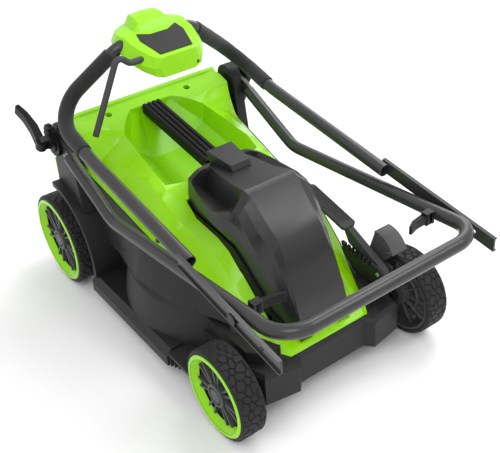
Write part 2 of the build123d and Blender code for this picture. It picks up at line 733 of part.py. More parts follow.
def make_notch_rack():
    """Toothed rack beside the lever, with the ears that carry the lever's pin."""
    yp, zp = lever_pivot
    low = step_top + seat_gap
    outline = [(-236, low), (-174, low), (-165, 119), (-142, 140), (-136, 160), (-224, 152), (-236, 146)]
    plate = side_plate(outline, rack_x0, rack_x1)
    for i in range(rack_teeth):
        y = -146 - 9.5 * i
        z = 160 + (y + 136) / 11
        plate -= block(rack_x0 - 1, rack_x1 + 1, y - 4, y, z - 8, z + 3)
    outer_x = lever_x + lever_arm_w / 2 + 1
    outer = block(outer_x, outer_x + 5, yp - 11, yp + 12, low, zp + 10)
    foot = block(rack_x0, outer_x + 5, yp - 11, yp + 12, low, low + 6)
    return plate + outer + foot - rod_x(lever_pin_r, lever_x - 30, lever_x + 30, yp, zp)


def make_lever_pin():
    """Pin that the height lever turns on."""
    yp, zp = lever_pivot
    return rod_x(lever_pin_r, rack_x0 - 1, lever_x + lever_arm_w / 2 + 7, yp, zp)


guard_at = (-188.0, 150.0)
guard_r = 41.0
guard_t = 4.0
guard_x0 = 150.0
guard_x1 = 182.0


def make_adjuster_guard():
    """Curved guard over the inner side of the left front wheel, on a ribbed cheek plate."""
    cy, cz = guard_at

    def arc(r, a0=84, a1=162, steps=12):
        angles = [radians(a0 + (a1 - a0) * i / steps) for i in range(steps + 1)]
        return [(cy + r * cos(a), cz + r * sin(a)) for a in angles]

    inner = guard_r - guard_t
    hood = side_plate(arc(guard_r) + arc(inner)[::-1], guard_x0, guard_x1)
    low = step_top + seat_gap
    foot = [(cy - 16, cz - 12), (cy - 10, low), (cy + 20, low), (cy + 16, cz)]
    cheek = side_plate(arc(inner + 0.5) + foot, guard_x0, guard_x0 + 5)
    for angle in (100, 126, 152):
        a = radians(angle)
        y0, z0 = cy + 22 * cos(a), cz + 22 * sin(a)
        y1, z1 = cy + inner * cos(a), cz + inner * sin(a)
        ny, nz = -1.5 * sin(a), 1.5 * cos(a)
        rib = [(y0 + ny, z0 + nz), (y1 + ny, z1 + nz), (y1 - ny, z1 - nz), (y0 - ny, z0 - nz)]
        cheek += side_plate(rib, guard_x0 - 3, guard_x0 + 1)
    bracket = block(nose_x - 12, guard_x0 + 5, cy - 8, cy + 18, low, low + 9)
    return hood + cheek + bracket


def make_grass_combs():
    """Ribbed grass combs ahead of the side skirts."""
    comb = block(158, 203, -146, -78 - seat_gap, 52, 58)
    for i in range(9):
        y = -82 - 7 * i
        comb += block(160, 203 - 3 * i, y - 2.6, y, 31, 53)
    return both(comb - rod_z(drum_r + seat_gap, 0, 100, 0, blade_y))


# Quick-release levers

clevis_t = 3.0
lever_pin = 2.5


def lever_frame(origin, out, arm):
    """Local frame of a cam lever: X away from the bolt, Y along the closed lever, Z along its pin."""
    x_dir = Vector(*out)
    return Plane(origin=origin, x_dir=x_dir, z_dir=x_dir.cross(Vector(*arm)))


def clevis(hub_r, hub_h, stem):
    """Fork on the end of a clamp bolt, with its pin; stem runs back along the bolt."""
    half = hub_h / 2 + gap
    back = -hub_r - 1
    fork = block(back - 4, back, -7, 7, -half - clevis_t, half + clevis_t)
    for z in (-half - clevis_t, half):
        fork += block(back - 1, 4, -6, 6, z, z + clevis_t)
    fork += rod_z(lever_pin, -half - clevis_t, half + clevis_t, 0, 0)
    return fork + rod_x(bolt_r, back - 4 - stem, back - 3, 0, 0)


def closed_lever(hub_r, hub_h, length):
    """Curved lever that lies across the bolt when closed."""
    outline = [(-6, 0), (-8, length * 0.4), (-4, length * 0.75), (3, length), (11, length),
               (6, length * 0.7), (5, length * 0.4), (8, 0)]
    arm = extrude(Pos(0, 0, -hub_h / 2) * make_face(Polyline(*outline, close=True)), hub_h)
    arm = fillet(arm.edges().filter_by(Axis.Z).group_by(Axis.Y)[-1], 2.4)
    return arm + rod_z(hub_r, -hub_h / 2, hub_h / 2, 0, 0) - rod_z(lever_pin + run_gap, -hub_h, hub_h, 0, 0)


def open_lever(hub_r, hub_h, length):
    """Short hooked lever that points along the bolt when open."""
    outline = [(0, -5), (length * 0.6, -6), (length, -11), (length + 2, -7), (length * 0.7, 1), (0, 6)]
    arm = extrude(Pos(0, 0, -hub_h / 2) * make_face(Polyline(*outline, close=True)), hub_h)
    return arm + rod_z(hub_r, -hub_h / 2, hub_h / 2, 0, 0) - rod_z(lever_pin + run_gap, -hub_h, hub_h, 0, 0)


leg_start = 46.0
plate_len = 58.0
plate_x0 = 186.0
plate_x1 = 194.0
disc_r = 28.0
disc_t = 9.6
rear_hub_r = 10.0
rear_hub_h = 21.0
rear_lever_len = 82.0
rear_lever_up = 34.0
rear_lever_down = -62.0
disc_x1 = plate_x1 + gap + disc_t
rear_hub_x = disc_x1 + 5 + rear_hub_r
joint_hub_r = 7.0
joint_hub_h = 14.0
joint_lever_len = 40.0


def leg_x(y):
    """Where the lower leg runs between its bend and the crossbar corner."""
    return bend_x + (corner_x - bend_x) * (y - bend_y) / (crossbar_y - bend_y)


joint_x = leg_x(joint_y)
joint_hub_x = joint_x - tube_r - gap - 5 - joint_hub_r


def rear_frame(side, angle):
    """Frame of a rear cam lever, turned to an angle above the rearward level."""
    arm = (0, cos(radians(angle)), sin(radians(angle)))
    return lever_frame((side * rear_hub_x, pivot_y, pivot_z), (side, 0, 0), arm)


def joint_frame(side):
    """Frame of a lever at the joint between the handles, which opens inwards."""
    return lever_frame((side * joint_hub_x, joint_y, joint_z), (-side, 0, 0), (0, 1, 0))


def make_clamp_disc():
    """Ribbed clamp disc outside the left leg end."""
    disc = rod_x(disc_r, plate_x1 + gap, disc_x1 - 3, pivot_y, pivot_z)
    disc += rod_x(disc_r - 8, plate_x1 + gap, disc_x1, pivot_y, pivot_z)
    for i in range(18):
        rib = Pos(plate_x1 + gap + 3.3, 0, disc_r) * Box(6.6, 4, 3)
        disc += Pos(0, pivot_y, pivot_z) * Rot(20 * i, 0, 0) * rib
    return disc - rod_x(bolt_r, plate_x1, disc_x1 + 1, pivot_y, pivot_z)


def make_pivot_bolt(side, angle):
    """Clamp bolt through the tower, with the fork of its cam lever."""
    stem = rear_hub_x - rear_hub_r - 5 - tower_x0 + 6
    bolt = rear_frame(side, angle).location * clevis(rear_hub_r, rear_hub_h, stem)
    head = rod_x(9, tower_x0 - 6, tower_x0 - gap, pivot_y, pivot_z)
    return bolt + (head if side > 0 else flip(head))


# Handle tubes

def leg_end():
    """Flattened eye at the rear end of the left lower leg."""
    eye = rod_x(17, plate_x0, plate_x1, pivot_y, pivot_z)
    run = hypot(pivot_y - bend_y, pivot_z - bend_z)
    uy, uz = (bend_y - pivot_y) / run, (bend_z - pivot_z) / run
    points = [(pivot_y - uz * 15, pivot_z + uy * 15), (pivot_y + uz * 15, pivot_z - uy * 15)]
    points += [(pivot_y + uy * plate_len + uz * 10, pivot_z + uz * plate_len - uy * 10)]
    points += [(pivot_y + uy * plate_len - uz * 10, pivot_z + uz * plate_len + uy * 10)]
    return eye + side_plate(points, plate_x0, plate_x1)


def make_lower_handle():
    """Lower U tube: legs, bend, crossbar and flattened ends."""
    run = hypot(pivot_y - bend_y, pivot_z - bend_z)
    start_y = pivot_y + (bend_y - pivot_y) / run * leg_start
    start_z = pivot_z + (bend_z - pivot_z) / run * leg_start
    left = [(pivot_x, start_y, start_z), (bend_x, bend_y, bend_z), (corner_x, crossbar_y, crossbar_z)]
    path = left + [(-x, y, z) for x, y, z in reversed(left)]
    tube = bent_tube(path, [60, 46, 46, 60], tube_r, tube_r - tube_wall)
    end = leg_end()
    tube = tube + end + flip(end)
    tube -= rod_x(bolt_r + run_gap, -plate_x1 - 1, plate_x1 + 1, pivot_y, pivot_z)
    return tube - rod_x(bolt_r + run_gap, -joint_x - 20, joint_x + 20, joint_y, joint_z)


def upper_z(y):
    """Height of the upper leg's centre line."""
    return joint_z + upper_slope * (y - joint_y)


def tail_channel():
    """Pressed channel at the front end of the left upper leg, past the joint bolt."""
    ya, yb = joint_y + channel_len + 14, -half_length
    h = channel_h

    def strip(low, high, x0, x1, y0=ya, y1=yb):
        return side_plate([(y0, upper_z(y0) + low), (y1, upper_z(y1) + low), (y1, upper_z(y1) + high),
                           (y0, upper_z(y0) + high)], x0, x1)

    web = strip(-h, h, channel_x, upper_x + tube_r)
    web += strip(-h - 1.6, -h + 0.4, channel_x, upper_x + tube_r + lip_w)
    web += strip(h - 0.4, h + 1.6, channel_x, upper_x + tube_r + lip_w)
    hole_y = yb + tail_hole_in
    web -= rod_x(tail_hole_r, channel_x - 10, channel_x + 10, hole_y, upper_z(hole_y))
    return web


def grip_path():
    """Corner points of the left grip: where the foam begins, the grip corner and the bar corner."""
    return [(upper_x, foam_end_y, foam_end_z), (upper_x, corner_y, corner_z), (bar_x, bar_y, bar_z)]


def along(start, end, share):
    """Point part of the way between two points."""
    return tuple(a + (b - a) * share for a, b in zip(start, end))


def make_upper_handle():
    """Upper handle tube with its raised grip loop and the pressed tails."""
    y0 = joint_y + channel_len
    left = [(upper_x, y0, upper_z(y0))] + grip_path()
    path = left + [(-x, y, z) for x, y, z in reversed(left)]
    bends = [easy_bend_r, grip_bend_r, bar_bend_r]
    tube = bent_tube(path, bends + bends[::-1], tube_r, tube_r - tube_wall)
    tail = tail_channel()
    tube = tube + tail + flip(tail)
    return tube - rod_x(bolt_r + run_gap, -upper_x - 20, upper_x + 20, joint_y, joint_z)


def make_foam_grips():
    """Foam sleeves on the two sides of the grip loop."""
    leg, corner, bar = grip_path()
    start = along(leg, corner, 0.12)
    end = along(corner, bar, 0.89)
    return both(bent_tube([start, corner, end], [grip_bend_r], foam_r, tube_r + run_gap))


def make_joint_bolt(side):
    """Bolt through both handle tubes, with the fork of its lever inside."""
    stem = upper_x + tube_r + 2 - joint_hub_x - joint_hub_r - 5
    bolt = joint_frame(side).location * clevis(joint_hub_r, joint_hub_h, stem)
    head = rod_x(9, upper_x + tube_r + gap, upper_x + tube_r + 4.5, joint_y, joint_z)
    return bolt + (head if side > 0 else flip(head))


# Control box on the grip loop

box_slope = 0.284
box_wall = 3.0
box_front = (-77.0, -6.0)
box_top = [
    (-78, [(0, -7), (20, -7), (26, -7), (33, -7.5), (37, -25)]),
    (-72, [(0, -5), (22, -5), (31, -5), (43, -5.5), (48, -24)]),
    (-53, [(0, 0.8), (25, 0.8), (36, 0.8), (52, 0.4), (62, -19)]),
    (-25, [(0, 8.8), (28, 8.8), (40, 8.8), (60, 8.4), (72, -12)]),
    (-5, [(0, 14.4), (29, 14.4), (40, 14.4), (60, 13.6), (73, -8)]),
    (3, [(0, 29), (27, 27.6), (37, 16.6), (63, 14), (73, -6)]),
    (16, [(0, 34), (26, 32.6), (37, 18), (63, 15), (73, -4)]),
    (38, [(0, 35), (24, 33.4), (34, 18), (54, 14), (64, -1)]),
    (52, [(0, 28), (20, 26.6), (27, 16), (40, 12), (50, 2)]),
]
box_floor = [
    (-78, [(0, -42), (28, -42), (34, -39), (37, -25)]),
    (-72, [(0, -43), (34, -43), (44, -39), (48, -24)]),
    (-53, [(0, -39), (44, -38), (56, -33), (62, -19)]),
    (-25, [(0, -29), (52, -28), (66, -24), (72, -12)]),
    (-5, [(0, -22), (52, -21), (67, -18), (73, -8)]),
    (3, [(0, -20), (52, -19), (67, -16), (73, -6)]),
    (16, [(0, -17), (52, -16), (66, -13), (73, -4)]),
    (38, [(0, -10), (44, -9), (58, -8), (64, -1)]),
    (52, [(0, -4), (32, -3), (45, -3), (50, 2)]),
]
bail_y = bar_y - 51
bail_z = bar_z - 11
bail_drop = 108.0
bail_end = 44.0
bail_r = 5.4
button_r = 9.0
button_z = bar_z + 13
button_travel = 5.0


def on_bar(stations, sink=0.0):
    """Half sections given from the middle of the grip bar, carried to their place."""
    return [(bar_y + y, [(x, bar_z + z - sink) for x, z in half]) for y, half in stations]


def tube_bore():
    """Room for the grip loop inside the control box."""
    leg, corner, bar = grip_path()
    path = [along(corner, bar, 0.5), bar]
    path += [(-x, y, z) for x, y, z in reversed(path)]
    return bent_tube(path, [bar_bend_r, bar_bend_r], tube_r)


def make_box_top():
    """Upper half of the control box: a hump behind the bare panel, and the bearings of the bail."""
    outer = on_bar(box_top)
    shell = ruled(outer) - ruled(inset(outer, box_wall), floor=bar_z - 63)
    for x in (-40, 40):
        shell += block(x - 4, x + 4, bail_y - 8, bail_y + 8, bail_z - 8, bail_z + 9)
    shell -= tube_bore()
    shell -= rod_x(bail_r + run_gap, -90, bail_end + 1, bail_y, bail_z)
    shell -= rod_y(button_r + gap, bar_y + 30, bar_y + 66, 0, button_z)
    return shell


def make_box_floor():
    """Lower half of the control box."""
    lowered = on_bar(box_floor, 2 * run_gap)
    shell = ruled(lowered) - ruled(inset(lowered, box_wall, rise=1), floor=bar_z + 57)
    shell -= rod_y(3.2, bar_y - 83, bar_y - 72, 34.5, bar_z - 33.4)
    return shell - tube_bore()


def make_badge_panel():
    """Bare dark panel on the sloping front of the control box."""
    half = [(31, -71), (42, -27), (38, -7), (17, -17)]
    half = [(x, bar_y + y) for x, y in half]
    outline = half + [(-x, y) for x, y in reversed(half)]
    y0, y1 = bar_y - 83, bar_y - 3
    front_y, front_z = bar_y + box_front[0], bar_z + box_front[1]
    z0 = front_z + box_slope * (y0 - front_y)
    z1 = front_z + box_slope * (y1 - front_y)
    layer = side_plate([(y0, z0 + 0.1), (y1, z1 + 0.1), (y1, z1 + 1.2), (y0, z0 + 1.2)], -60, 60)
    return flat_plate(outline, bar_z - 23, bar_z + 37) & layer


def make_switch_module():
    """Switch housing inside the control box, under the bail shaft."""
    body = block(-24, 24, bar_y - 40, bar_y - 31, bar_z - 27.2, bar_z - 9)
    return body + block(-16, 16, bar_y - 31, bar_y - 19, bar_z - 21, bar_z - 13)


def make_bail():
    """Bail: a round bar that turns in the box as a shaft and hangs down at the right side."""
    path = [(-157, bail_y + 8, bail_z - bail_drop), (-98, bail_y + 2, bail_z + 18), (-79, bail_y, bail_z)]
    path += [(bail_end, bail_y, bail_z)]
    return bent_tube(path, [10, 14], bail_r)


def make_start_button():
    """Push button in the back of the control box, with a stop collar inside."""
    stem = rod_y(button_r, bar_y + 32, bar_y + 57, 0, button_z)
    return stem + rod_y(button_r + 2.5, bar_y + 32, bar_y + 35, 0, button_z)


def export_all():
    """Write every sub-part."""
    os.makedirs("parts", exist_ok=True)
    save("deck", make_deck())
    save("motor_can", make_motor_can())
    save("motor_rotor", make_rotor())
    save("cooling_fan", make_fan())
    save("blade_carrier", make_blade_carrier())
    save("cutting_blade", make_blade())
    save("blade_bolt", make_blade_bolt())
    save("top_cover", make_cover())
    save("cover_screws", make_cover_screws())
    save("carry_handle", make_carry_handle())
    save("battery_housing", make_hood_base())
    save("battery_lid", make_lid())
    save("lid_tab", make_lid_tab())
    save("lid_pins", make_lid_pins())
    save("battery_pack", make_battery())
    save("terminal_block", make_terminal_block())
    save("safety_key", make_safety_key())
    save("motor_controller", make_controller())
    save("rear_flap", make_flap())
    save("flap_rod", make_flap_rod())
    save("flap_hangers", make_flap_hangers())
    wheels = [
        ("front_left", front_wheel_r, front_tyre_w, front_face_x, front_axle_y, 1),
        ("front_right", front_wheel_r, front_tyre_w, front_face_x, front_axle_y, -1),
        ("rear_left", rear_wheel_r, rear_tyre_w, rear_face_x, rear_axle_y, 1),
        ("rear_right", rear_wheel_r, rear_tyre_w, rear_face_x, rear_axle_y, -1),
    ]
    for name, radius, width, face_x, y, side in wheels:
        tyre, ring, hub = wheel_parts(radius, width, face_x, y, side)
        save(name + "_tyre", tyre)
        save(name + "_ring", ring)
        save(name + "_hub", hub)
    save("front_axle", axle_set(front_pivot_y, front_pivot_z, front_axle_y, front_wheel_r, 148,
                                150, front_face_x - 14))
    save("rear_axle", axle_set(rear_pivot_y, rear_pivot_z, rear_axle_y, rear_wheel_r, 150,
                               155, rear_face_x - 14))
    save("height_lever", make_height_lever())
    save("notch_rack", make_notch_rack())
    save("lever_pin", make_lever_pin())
    save("adjuster_guard", make_adjuster_guard())
    save("grass_combs", make_grass_combs())
    save("clamp_discs", both(make_clamp_disc()))
    bolts = [make_pivot_bolt(1, rear_lever_down), make_pivot_bolt(-1, rear_lever_up)]
    save("pivot_bolts", Compound(children=bolts))
    lever = closed_lever(rear_hub_r, rear_hub_h, rear_lever_len)
    save("cam_lever_left", rear_frame(1, rear_lever_down).location * lever)
    save("cam_lever_right", rear_frame(-1, rear_lever_up).location * lever)
    save("lower_handle", make_lower_handle())
    save("upper_handle", make_upper_handle())
    save("joint_bolts", Compound(children=[make_joint_bolt(1), make_joint_bolt(-1)]))
    hook = open_lever(joint_hub_r, joint_hub_h, joint_lever_len)
    save("joint_lever_left", joint_frame(1).location * hook)
    save("joint_lever_right", joint_frame(-1).location * hook)
    save("foam_grips", make_foam_grips())
    save("control_box_top", make_box_top())
    save("control_box_floor", make_box_floor())
    save("badge_panel", make_badge_panel())
    save("switch_module", make_switch_module())
    save("bail_lever", make_bail())
    save("start_button", make_start_button())


export_all()
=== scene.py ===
import json
import math
import bpy
import numpy as np
from mathutils import Matrix, Vector


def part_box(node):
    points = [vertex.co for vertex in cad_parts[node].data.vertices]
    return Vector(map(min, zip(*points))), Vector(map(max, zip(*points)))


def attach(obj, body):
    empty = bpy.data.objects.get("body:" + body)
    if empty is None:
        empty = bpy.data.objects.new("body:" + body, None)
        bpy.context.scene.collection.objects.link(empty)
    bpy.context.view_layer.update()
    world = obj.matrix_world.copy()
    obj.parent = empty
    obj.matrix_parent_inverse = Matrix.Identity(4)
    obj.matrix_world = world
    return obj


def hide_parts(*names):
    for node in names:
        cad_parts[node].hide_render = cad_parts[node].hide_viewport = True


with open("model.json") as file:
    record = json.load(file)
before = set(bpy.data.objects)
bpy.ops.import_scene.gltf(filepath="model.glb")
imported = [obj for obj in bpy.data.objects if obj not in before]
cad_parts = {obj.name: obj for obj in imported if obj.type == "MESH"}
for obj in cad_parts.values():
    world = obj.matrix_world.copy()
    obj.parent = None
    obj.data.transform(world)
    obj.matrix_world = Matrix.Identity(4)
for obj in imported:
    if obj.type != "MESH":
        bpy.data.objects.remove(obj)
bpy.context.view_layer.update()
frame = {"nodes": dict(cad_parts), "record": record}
NODES = frame["nodes"]

# Camera, light and floor, in metres, degrees and watts

CAMERA_AT = (-0.6394, -1.0029, 0.9773)
BEARING = -33.43
HEIGHT_ANGLE = 33.99
ROLL = -4.61
PICTURE_W = 500
PICTURE_H = 453
FOCAL_PX = 832.97
AXIS_X_PX = 247.09
AXIS_Y_PX = 224.83
SENSOR_MM = 36
NEAR_CLIP = 0.05

FLOOR_HALF = 9
FLOOR_TONE = 0.93
FLOOR_ROUGH = 0.6
SURROUND_LIGHT = 0.9
# Name, place, aim, side length and power of each light
LIGHTS = (
    ("key", (-1.3, -1.5, 2.5), (0, 0, 0.2), 1.3, 19),
    ("panel", (1.05, 0.35, 2.1), (0, 0, 0.25), 1.0, 14),
    ("front", (1.0, -1.1, 1.7), (0, -0.1, 0.28), 0.8, 9),
    ("rim", (1.9, 1.2, 1.3), (0, 0, 0.3), 1.2, 9),
)


def put(name, data):
    """New object of the given data in the scene."""
    made = bpy.data.objects.new(name, data)
    bpy.context.scene.collection.objects.link(made)
    return made


def place_camera():
    """Camera fitted to the photograph: its place, bearing, height angle, roll, focal length and axis."""
    az, el, roll = (math.radians(v) for v in (BEARING, HEIGHT_ANGLE, ROLL))
    back = Vector((math.sin(az) * math.cos(el), -math.cos(az) * math.cos(el), math.sin(el)))
    side = Vector((0, 0, 1)).cross(back).normalized()
    up = back.cross(side)
    right = side * math.cos(roll) + up * math.sin(roll)
    up = -side * math.sin(roll) + up * math.cos(roll)
    data = bpy.data.cameras.new("camera")
    data.sensor_width = SENSOR_MM
    data.sensor_fit = "HORIZONTAL"
    data.lens = FOCAL_PX * SENSOR_MM / PICTURE_W
    data.shift_x = (PICTURE_W / 2 - AXIS_X_PX) / PICTURE_W
    data.shift_y = (AXIS_Y_PX - PICTURE_H / 2) / PICTURE_W
    data.clip_start = NEAR_CLIP
    cam = put("camera", data)
    turn = Matrix((right, up, back)).transposed().to_4x4()
    cam.matrix_world = Matrix.Translation(CAMERA_AT) @ turn
    bpy.context.scene.camera = cam


def area_light(name, at, aim, size, power):
    """Soft square light pointed at a place."""
    data = bpy.data.lights.new(name, "AREA")
    data.energy = power
    data.size = size
    lamp = put(name, data)
    lamp.location = at
    lamp.rotation_euler = (Vector(aim) - Vector(at)).to_track_quat("-Z", "Y").to_euler()


def make_stage():
    """Plain pale floor, even surroundings and soft lights."""
    far = FLOOR_HALF
    mesh = bpy.data.meshes.new("floor")
    mesh.from_pydata([(-far, -far, 0), (far, -far, 0), (far, far, 0), (-far, far, 0)], [], [(0, 1, 2, 3)])
    floor = put("floor", mesh)
    paint = bpy.data.materials.new("floor")
    paint.use_nodes = True
    shader = paint.node_tree.nodes["Principled BSDF"]
    shader.inputs["Base Color"].default_value = (FLOOR_TONE, FLOOR_TONE, FLOOR_TONE, 1)
    shader.inputs["Roughness"].default_value = FLOOR_ROUGH
    floor.data.materials.append(paint)
    world = bpy.data.worlds.new("studio")
    world.use_nodes = True
    world.node_tree.nodes["Background"].inputs["Color"].default_value = (1, 1, 1, 1)
    world.node_tree.nodes["Background"].inputs["Strength"].default_value = SURROUND_LIGHT
    bpy.context.scene.world = world
    bpy.context.scene.view_settings.view_transform = "Standard"
    for light in LIGHTS:
        area_light(*light)


# Finishes: every pattern reads object coordinates, so it stays on its piece as the piece moves

COAT_ROUGH = 0.14
SHEEN_ROUGH = 0.5
DRIFT_DETAIL = 5
DRIFT_LOW, DRIFT_HIGH = 0.3, 0.7
ROUGH_SWING = 0.05
FLECK_SCALE = 2600
FLECK_EDGE = 0.45
FLECK_GAIN, FLECK_LIFT = 3, 0.05
HAIR_SCALE = 60
HAIR_DETAIL = 8
HAIR_STRETCH = (1, 9, 3)
HAIR_LOW, HAIR_HIGH = 0.52, 0.75
GRAIN_DETAIL = 3


def link(tree, a, out, b, into):
    """Join one shader node's output to another's input."""
    tree.links.new(a.outputs[out], b.inputs[into])


def noise(tree, where, scale, detail, stretch=(1, 1, 1)):
    """Noise on object coordinates, drawn out along one direction where stretch says so."""
    turn = tree.nodes.new("ShaderNodeMapping")
    turn.inputs["Scale"].default_value = stretch
    link(tree, where, "Object", turn, "Vector")
    node = tree.nodes.new("ShaderNodeTexNoise")
    node.inputs["Scale"].default_value = scale
    node.inputs["Detail"].default_value = detail
    link(tree, turn, "Vector", node, "Vector")
    return node


def ramp(tree, source, low, high):
    """Two colours blended by how far a pattern has drifted."""
    node = tree.nodes.new("ShaderNodeValToRGB")
    node.color_ramp.elements[0].color = (*low, 1)
    node.color_ramp.elements[1].color = (*high, 1)
    node.color_ramp.elements[0].position = DRIFT_LOW
    node.color_ramp.elements[1].position = DRIFT_HIGH
    link(tree, source, "Fac", node, "Fac")
    return node


def spread(tree, source, out, low, high, a, b):
    """A pattern's value between a and b carried to the range low to high."""
    node = tree.nodes.new("ShaderNodeMapRange")
    node.inputs["From Min"].default_value = a
    node.inputs["From Max"].default_value = b
    node.inputs["To Min"].default_value = low
    node.inputs["To Max"].default_value = high
    link(tree, source, out, node, "Value")
    return node


def add_flecks(tree, where, tint, color, fleck):
    """The tint with pale grains on it, one at the heart of each small cell."""
    cells = tree.nodes.new("ShaderNodeTexVoronoi")
    cells.inputs["Scale"].default_value = FLECK_SCALE
    link(tree, where, "Object", cells, "Vector")
    pale = tree.nodes.new("ShaderNodeMix")
    pale.data_type = "RGBA"
    share = spread(tree, cells, "Distance", fleck, 0.0, 0.0, FLECK_EDGE)
    link(tree, share, "Result", pale, "Factor")
    link(tree, tint, "Color", pale, "A")
    pale.inputs["B"].default_value = (*[min(c * FLECK_GAIN + FLECK_LIFT, 1) for c in color], 1)
    return pale


def finish(name, color, rough, mottle=0.06, drift=11.0, grain=1700.0, bump=0.12, depth=0.0003, scuff=0.05,
           metal=0.0, coat=0.0, fleck=0.0, sheen=0.0, shine=0.3, stretch=(1, 1, 1)):
    """Moulded, painted or plated surface.

    Colour drifts softly over the piece, roughness follows both that drift and fine hairline scuffs,
    and the relief is the mould's or the paint's own grain. Fleck adds the pale grains of metallic paint.
    """
    mat = bpy.data.materials.new(name)
    mat.use_nodes = True
    tree = mat.node_tree
    shader = tree.nodes["Principled BSDF"]
    shader.inputs["Metallic"].default_value = metal
    shader.inputs["Specular IOR Level"].default_value = shine
    shader.inputs["Coat Weight"].default_value = coat
    shader.inputs["Coat Roughness"].default_value = COAT_ROUGH
    shader.inputs["Sheen Weight"].default_value = sheen
    shader.inputs["Sheen Roughness"].default_value = SHEEN_ROUGH
    where = tree.nodes.new("ShaderNodeTexCoord")
    soft = noise(tree, where, drift, DRIFT_DETAIL)
    tint = ramp(tree, soft, [c * (1 - mottle) for c in color], [min(c * (1 + mottle), 1) for c in color])
    if fleck:
        link(tree, add_flecks(tree, where, tint, color, fleck), "Result", shader, "Base Color")
    else:
        link(tree, tint, "Color", shader, "Base Color")
    hair = noise(tree, where, HAIR_SCALE, HAIR_DETAIL, HAIR_STRETCH)
    drifted = spread(tree, soft, "Fac", rough - ROUGH_SWING, rough + ROUGH_SWING, DRIFT_LOW, DRIFT_HIGH)
    scuffed = spread(tree, hair, "Fac", 0.0, scuff, HAIR_LOW, HAIR_HIGH)
    sum_up = tree.nodes.new("ShaderNodeMath")
    sum_up.operation = "ADD"
    link(tree, drifted, "Result", sum_up, 0)
    link(tree, scuffed, "Result", sum_up, 1)
    link(tree, sum_up, "Value", shader, "Roughness")
    fine = noise(tree, where, grain, GRAIN_DETAIL, stretch)
    relief = tree.nodes.new("ShaderNodeBump")
    relief.inputs["Strength"].default_value = bump
    relief.inputs["Distance"].default_value = depth
    link(tree, fine, "Fac", relief, "Height")
    link(tree, relief, "Normal", shader, "Normal")
    return mat


GREEN = finish("lime_gloss", (0.285, 0.69, 0.003), 0.24, mottle=0.04, grain=700, bump=0.03, coat=0.12,
               scuff=0.08)
DECK = finish("deck_grain", (0.016, 0.016, 0.0162), 0.47, mottle=0.1, bump=0.3)
BLACK = finish("black_nylon", (0.005, 0.005, 0.0053), 0.44, mottle=0.1, bump=0.25, shine=0.15)
LID = finish("lid_satin", (0.013, 0.013, 0.0133), 0.34, mottle=0.08, bump=0.1, shine=0.5)
GREY = finish("grey_nylon", (0.05, 0.05, 0.052), 0.46, mottle=0.08, bump=0.28)
PALE = finish("pale_grey_nylon", (0.085, 0.085, 0.088), 0.46, bump=0.28)
HUB = finish("hub_grey", (0.07, 0.07, 0.073), 0.42, mottle=0.1, bump=0.25)
PANEL = finish("badge_panel", (0.016, 0.016, 0.0165), 0.5, grain=2400, bump=0.4)
TUBE = finish("gunmetal_paint", (0.04, 0.04, 0.041), 0.3, grain=900, bump=0.08, coat=0.2, metal=0.3,
              fleck=0.4)
RUBBER = finish("tyre_rubber", (0.014, 0.014, 0.0145), 0.6, mottle=0.2, drift=22, grain=1300, bump=0.35,
                scuff=0.12)
FOAM = finish("grip_foam", (0.015, 0.015, 0.0155), 0.8, mottle=0.22, drift=60, grain=1500, bump=0.8,
              depth=0.0006, sheen=0.2)
STEEL = finish("bright_steel", (0.52, 0.52, 0.53), 0.28, grain=260, bump=0.1, metal=1.0, shine=0.5,
               stretch=(1, 12, 12))
ZINC = finish("black_zinc", (0.03, 0.03, 0.032), 0.38, grain=700, bump=0.15, metal=0.7)
ALLOY = finish("cast_alloy", (0.5, 0.5, 0.51), 0.46, mottle=0.1, grain=500, bump=0.4, metal=1.0, shine=0.5)
RED = finish("red_plastic", (0.5, 0.015, 0.008), 0.3, coat=0.3)

# Finish of each material slot, then of the nodes that differ from their slot
FINISH = {
    "deck_plastic": DECK, "green_plastic": GREEN, "black_plastic": BLACK, "lid_plastic": LID,
    "battery_case": BLACK, "key_plastic": RED, "hub_plastic": HUB, "tyre_rubber": RUBBER,
    "tube_paint": TUBE, "foam": FOAM, "steel": STEEL, "blade_steel": ZINC, "cast_metal": ALLOY,
}
OWN_FINISH = {
    "pivot_bolts": ZINC, "joint_bolts": ZINC, "flap_rod": ZINC, "front_axle": ZINC, "rear_axle": ZINC,
    "cover_screws": ZINC, "badge_panel": PANEL, "height_lever": GREY, "bail_lever": GREY,
    "adjuster_guard": PALE, "lid_tab": LID,
}


# CAD nodes: finish and broken edges, whose widths are in millimetres

EDGE = {
    "deck": 2.4, "top_cover": 2.6, "battery_lid": 2.6, "control_box_top": 3.0, "control_box_floor": 1.6,
    "battery_housing": 1.4, "carry_handle": 1.6, "badge_panel": 0.8, "height_lever": 1.2,
    "adjuster_guard": 1.0, "rear_flap": 1.2, "clamp_discs": 1.2, "cam_lever_left": 1.6,
    "cam_lever_right": 1.6, "joint_lever_left": 1.6, "joint_lever_right": 1.6, "grass_combs": 0.8,
}
EDGE_ELSE = 0.5
EDGE_STEPS = 3
SHARP_ANGLE = 26
FLAT_ANGLE = 0.4
MERGE_WITHIN = 1e-6
SOUND_GROWTH = 1.003


def face_area(mesh):
    """Area of a mesh: half the sum of the lengths of its triangles' cross products."""
    mesh.calc_loop_triangles()
    corner = np.empty(len(mesh.loop_triangles) * 3, dtype=np.int32)
    mesh.loop_triangles.foreach_get("vertices", corner)
    spot = np.empty(len(mesh.vertices) * 3)
    mesh.vertices.foreach_get("co", spot)
    a, b, c = (spot.reshape(-1, 3)[corner.reshape(-1, 3)[:, k]] for k in range(3))
    return np.linalg.norm(np.cross(b - a, c - a), axis=1).sum() / 2


def smooth_shade(mesh):
    """Shade every face of a mesh smoothly."""
    mesh.polygons.foreach_set("use_smooth", np.ones(len(mesh.polygons), dtype=bool))


